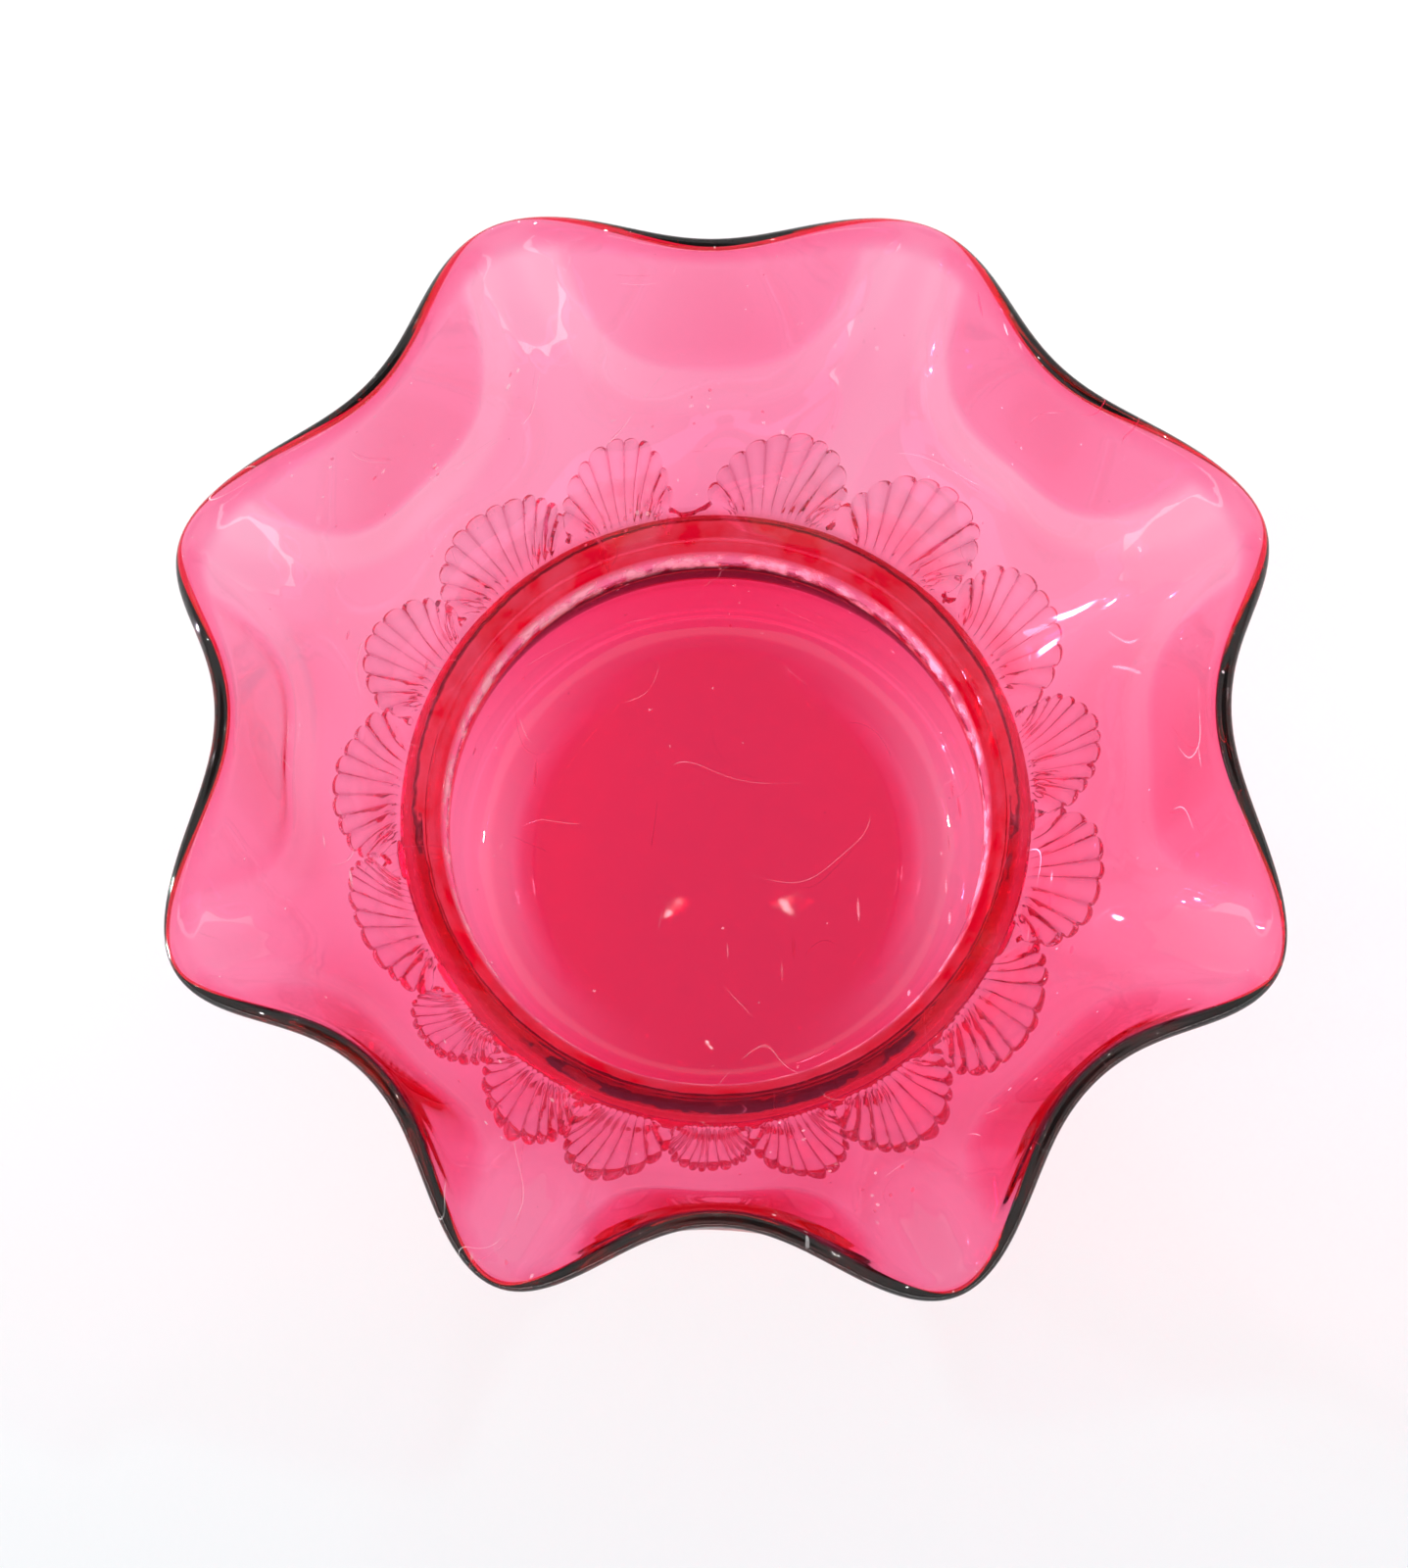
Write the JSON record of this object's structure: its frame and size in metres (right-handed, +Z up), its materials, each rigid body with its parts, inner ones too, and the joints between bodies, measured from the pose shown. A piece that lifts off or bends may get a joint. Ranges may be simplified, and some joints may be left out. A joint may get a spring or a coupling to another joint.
{
  "type": "sugar bowl",
  "caption": "Hand-worked glass sugar bowl: a round flat-based cup with a wide crimped flare and a frill of pinched, ribbed shells round its neck.",
  "frame": {"origin": "middle of the flat base, where it rests", "axes": "+Z up through the open mouth; -Y towards the viewer of the picture, +X to the viewer's right"},
  "size_m": [0.1323, 0.133, 0.0739],
  "materials": {
    "ruby_glass": "fire-polished gloss",
    "clear_glass": "fire-polished gloss"
  },
  "bodies": {
    "root": {"bowl": "ruby_glass", "frill_trail": "clear_glass", "frill_shell_01": "clear_glass", "frill_shell_02": "clear_glass", "frill_shell_03": "clear_glass", "frill_shell_04": "clear_glass", "frill_shell_05": "clear_glass", "frill_shell_06": "clear_glass", "frill_shell_07": "clear_glass", "frill_shell_08": "clear_glass", "frill_shell_09": "clear_glass", "frill_shell_10": "clear_glass", "frill_shell_11": "clear_glass", "frill_shell_12": "clear_glass", "frill_shell_13": "clear_glass", "frill_shell_14": "clear_glass", "frill_shell_15": "clear_glass", "frill_shell_16": "clear_glass", "frill_shell_17": "clear_glass"}
  },
  "joints": []
}
